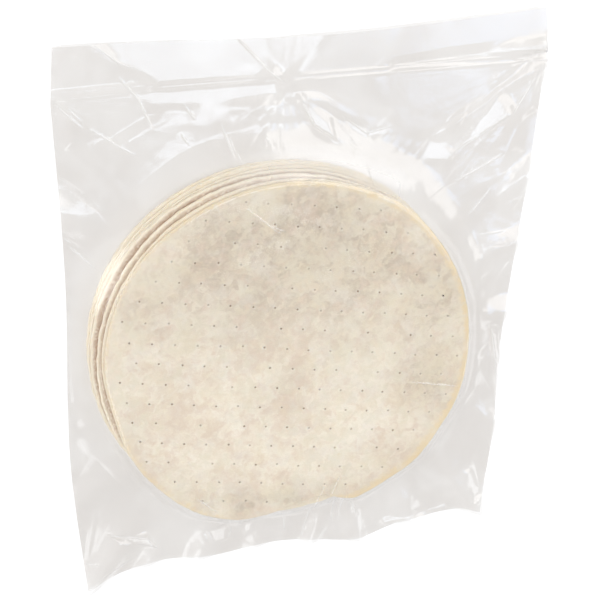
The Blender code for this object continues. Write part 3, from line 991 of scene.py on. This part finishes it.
def baked_face(finish, place, bent, tone, light):
    """The mottled colour of the face."""
    ends = finish.mix(light, *DARK_END), finish.mix(light, *LIGHT_END)
    colour = finish.mix(tone.ramp(0.385, 0.615), *ends)
    colour = finish.mix(finish.noise(place, 60.0, 4.0, 0.6, 1.0).ramp(0.54, 0.74) * 0.35, colour, TAN)
    hue = finish.noise(bent, 95.0, 4.0, 0.65) + (finish.noise(place, 26.0) - 0.5) * 0.5
    colour = finish.mix(hue.ramp(0.5, 0.64) * 0.45, colour, SAGE)
    colour = finish.mix((1 - hue.ramp(0.34, 0.5)) * 0.5, colour, BLUSH)
    warmth = finish.noise(bent, 58.0, 4.0, 0.65)
    colour = finish.mix(warmth.ramp(0.5, 0.66) * 0.3, colour, BUTTER)
    return finish.mix((1 - warmth.ramp(0.34, 0.5)) * 0.32, colour, CHALK)


print("dimmer and lighter places:", len(TONES))

# %% [markdown]
# ## Flour, rim and pits
# Dry flour stays in the fine wrinkles. The rim never meets the hot plate, so it stays
# smooth, pale and streaked with yellow. The pricked marks are brown at the bottom, with
# flour round them. Mesh attributes say where the rims and marks are, and where shade is
# painted brown into the crevices between the rims.

# %% The whole finish
CREAM = (0.94, 0.86, 0.71, 1.0)
PALE = (0.925, 0.85, 0.705, 1.0)
RIM = (0.86, 0.72, 0.475, 1.0)
FLOUR = (0.94, 0.895, 0.8, 1.0)
# Painted shade: the brown that goes into the crevices between the rims
PAINTED_SHADE_BROWN = (0.44, 0.27, 0.15, 1.0)
MARK = (0.36, 0.27, 0.18, 1.0)


def bread(name, tones, edge_colour, edge_share):
    """The finish of a round, with its tones, and the colour near its rim."""
    finish = new_finish(name)
    place = finish.place()
    wide = finish.noise(place, 24.0, 2.0, 0.5, 0.4)
    middle = finish.noise(place, 110.0, 5.0, 0.7, 1.8)
    fine = finish.noise(place, 330.0, 4.0, 0.7, 1.2)
    grain = finish.noise(place, 1300.0)
    bent = finish.node("VectorMath", {"operation": "MULTIPLY_ADD"}, {
        0: finish.noise(place, 120.0, 3.0, output="Color"), 1: (0.014, 0.014, 0.014), 2: place})
    flake = finish.node("TexVoronoi", {"feature": "F1"}, {"Vector": bent, "Scale": 150.0}, output="Color")
    tone = wide * 0.3 + middle * 0.42 + fine * 0.12 + flake * 0.16
    colour = baked_face(finish, place, bent, tone, lightness(finish, place, wide, tones))
    wrinkle = finish.noise(place, 170.0, 4.0, 0.6, 1.5, kind="RIDGED_MULTIFRACTAL")
    colour = finish.mix(wrinkle.ramp(0.7, 1.2) * 0.38, colour, FLOUR)
    depth = finish.attribute("from_rim") + (middle - 0.5) * 0.006
    colour = finish.mix((1 - depth.ramp(0.004, 0.012)) * edge_share, colour, edge_colour)
    crust = finish.attribute("crust") + (middle - 0.5) * 1.1 + (fine - 0.5) * 1.3
    streaks = finish.noise(bent, 110.0, 3.0, 0.6).ramp(0.34, 0.58)
    colour = finish.mix(crust.ramp(0.12, 0.75) * (0.35 + 0.6 * streaks), colour, RIM)
    # Painted shade: the crevices between the rims, under the rounds above, are coloured brown
    colour = finish.mix(finish.attribute("crevice_shade") * fine.ramp(0.2, 0.6), colour, PAINTED_SHADE_BROWN)
    docking = finish.attribute("docking")
    colour = finish.mix(docking.ramp(0.05, 0.35) * 0.4, colour, FLOUR)
    colour = finish.mix(docking.ramp(0.45, 0.95) * (1.0 - 0.45 * tone.ramp(0.42, 0.58)), colour, MARK)
    bump_height = middle * 0.35 + wrinkle * 0.25 + fine * 0.3 + grain * 0.1
    normal = finish.node("Bump", {}, {"Strength": 0.8, "Distance": 0.0006, "Height": bump_height})
    return finish.end(finish.node("BsdfPrincipled", {}, {
        "Base Color": colour, "Roughness": 0.62 + 0.16 * middle, "Normal": normal,
        "Specular IOR Level": 0.3, "Subsurface Weight": 0.12, "Subsurface Scale": 1.0,
        "Subsurface Radius": (0.003, 0.002, 0.0011)}))


top_round.data.materials.append(bread("baked_top", TONES, CREAM, 0.15))
edge_bread = bread("baked_edge", (), PALE, 1.0)
for piece in lower_rounds:
    piece.data.materials.append(edge_bread)

# %% [markdown]
# ## The look of the film
# Clear film is almost nothing but gloss. Light passes through it with a small loss, and a
# share that grows at grazing angles is mirrored. Blender's Fresnel node takes the far
# side of a surface for the inside of a block, where slanting light can't get out, so a
# thin sheet does better with Layer Weight, which treats both sides alike. One sheet
# stands for both of the film's faces, so the mirrored share is nearly doubled. Some
# patches pass a little less light. A little whitish diffuse film lies on bends, partly the
# plastic's own whitening and partly a painted highlight, and in the band round the
# stack's upper edge it is a painted reflection.

# %% Film finish
FILM_PASSES = ((0.91, 0.897, 0.882, 1.0), (0.893, 0.877, 0.86, 1.0))
HAZE, MILK_AND_SHEEN_HAZE = 0.012, 0.3


def clear_film(name, roughness):
    """Thin clear film whose gloss is as rough as given."""
    finish = new_finish(name)
    place = finish.place()
    cloud = finish.noise(place, 30.0)
    ripple = finish.noise(place, 320.0, distortion=0.2)
    normal = finish.node("Bump", {}, {"Strength": 0.6, "Distance": 0.0001, "Height": ripple})
    slant = finish.node("LayerWeight", {}, {"Blend": 0.5, "Normal": normal}, output="Facing")
    mirrored = 0.04 + 0.96 * slant**5
    patches = finish.noise(place, 17.0, 3.0, 0.6, 0.6).ramp(0.4, 0.6)
    clear, dull = (finish.node("BsdfTransparent", {}, {"Color": passes}) for passes in FILM_PASSES)
    through = finish.node("MixShader", {}, {0: patches, 1: clear, 2: dull})
    gloss = finish.node("BsdfPrincipled", {}, {
        "Base Color": (1.0, 1.0, 1.0, 1.0), "Metallic": 1.0,
        "Roughness": roughness + cloud * 0.08, "Normal": normal})
    # Whitish diffuse film, for whitened bends and for the painted highlights and painted reflection
    milk_and_sheen_film = finish.node("BsdfPrincipled", {}, {
        "Base Color": (0.95, 0.95, 0.95, 1.0), "Roughness": 0.5, "Normal": normal})
    both_faces = mirrored * 2.0 / (1.0 + mirrored)
    film = finish.node("MixShader", {}, {0: both_faces, 1: through, 2: gloss})
    # Haze in clouds is the film's own; the attribute adds whitened bends, painted highlights and the
    # painted reflection
    haze_and_sheen = HAZE * cloud * 2.0 + MILK_AND_SHEEN_HAZE * finish.attribute("milk_and_sheen")
    return finish.end(finish.node("MixShader", {}, {0: haze_and_sheen, 1: film, 2: milk_and_sheen_film}))


film_front.data.materials.append(clear_film("clear_film", 0.13))
film_back.data.materials.append(clear_film("film_on_table", 0.4))

# %% [markdown]
# ## Tying the looks to the solid model
# Every new piece rides on the one body, and the front film stands for the solid bag.

# %% Ride and replace
for piece in [film_front, film_back, top_round] + lower_rounds:
    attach(piece, "root")
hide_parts("tortilla_bag")
print("pieces:", len(lower_rounds) + 3)

# %% [markdown]
# ## Table and tent
# The pack lies on a plain white table in a white tent. The table gives off a little light
# of its own, so it stays white under the film. The tent is brighter on the left, as
# beside a window, and flat film reflects that.

# %% Table and tent
bm = bmesh.new()
bmesh.ops.create_grid(bm, x_segments=1, y_segments=1, size=6.0)
floor = finish_piece("table_top", bm)
lit_white = new_finish("lit_white_table")
floor.data.materials.append(lit_white.end(lit_white.node("BsdfPrincipled", {}, {
    "Base Color": (0.45, 0.45, 0.45, 1.0), "Roughness": 0.9, "Specular IOR Level": 0.1,
    "Emission Color": (1.0, 1.0, 1.0, 1.0), "Emission Strength": 0.56})))

TENT, TENT_ON_LEFT = 0.57, 0.74
tent = Finish(bpy.data.worlds.new("white_tent"))
way_out = tent.node("TexCoord", {}, {}, output="Generated")
toward_left = tent.node("VectorMath", {"operation": "DOT_PRODUCT"},
                        {0: way_out, 1: (-0.85, 0.15, 0.0)}, output="Value")
sky = tent.node("Background", {}, {
    "Color": (0.97, 0.98, 1.0, 1.0), "Strength": TENT + TENT_ON_LEFT * toward_left.ramp(-0.45, 0.85)})
scene = bpy.context.scene
scene.world = tent.end(sky, "OutputWorld")
scene.view_settings.view_transform = "Standard"
scene.view_settings.look = "None"

# %% [markdown]
# ## Softboxes
# Film shows a lamp only where it leans the right way, so each softbox is placed for one
# lean: towards the mouth, to the side, and for folds that lean left and right. The main
# one lights the bread, and the last one grazes the rims. Brightness is given for the
# box's face, so a larger box makes no brighter reflection.

# %% Softboxes
def softbox(name, place, aim, size, radiance, colour=(1.0, 1.0, 1.0)):
    """A rectangular soft light of a given brightness, turned to face a point on the table."""
    lamp = bpy.data.lights.new(name, "AREA")
    lamp.shape = "RECTANGLE"
    lamp.size, lamp.size_y = size
    lamp.energy = radiance * math.pi * size[0] * size[1]
    lamp.color = colour
    stand = bpy.data.objects.new(name, lamp)
    stand.location = place
    back = (Vector(place) - Vector(aim)).normalized()
    along_x = (Vector((1.0, 0.0, 0.0)) - back * back.x).normalized()
    stand.rotation_euler = Matrix((along_x, back.cross(along_x), back)).transposed().to_euler()
    scene.collection.objects.link(stand)
    print(name, "watts:", round(lamp.energy, 2))


softbox("mouth_softbox", (0.21, -0.234, 1.5), (-0.08, 0.235, 0.0), (0.36, 0.28), 3.2, (0.74, 0.85, 1.0))
softbox("side_softbox", (0.79, -0.3, 1.5), (0.12, 0.22, 0.0), (0.42, 0.4), 2.25, (0.5, 0.68, 1.0))
softbox("left_softbox", (-0.563, -0.885, 1.207), (0.0, -0.1, 0.0), (0.5, 0.4), 1.7, (0.9, 0.95, 1.0))
softbox("right_softbox", (1.25, -0.83, 0.75), (0.1, -0.1, 0.0), (0.5, 0.4), 1.8, (0.9, 0.95, 1.0))
softbox("main_softbox", (1.15, 0.55, 1.55), (0.0, 0.0, 0.0), (1.7, 1.7), 2.1)
softbox("rim_softbox", (-1.5, 0.25, 0.6), (-0.15, 0.0, 0.0), (0.8, 0.5), 3.0)

# %% [markdown]
# ## Camera
# The camera looks down on the pack from beyond its mouth with a long lens. Its three
# directions are the columns of its matrix.

# %% Camera
PLACE = Vector((-0.336, 0.636, 1.281))
LOOK = Vector((0.22699, -0.42795, -0.87483))
UP = Vector((0.10819, 0.9038, -0.41405))
lens = bpy.data.cameras.new("camera")
lens.lens, lens.sensor_width = 108.0, 36.0
camera = bpy.data.objects.new("camera", lens)
side = LOOK.cross(UP).normalized()
turned = Matrix((side, side.cross(LOOK).normalized(), -LOOK)).transposed().to_4x4()
camera.matrix_world = Matrix.Translation(PLACE) @ turned
scene.collection.objects.link(camera)
scene.camera = camera
print("camera from the pack, m:", round(PLACE.length, 2))
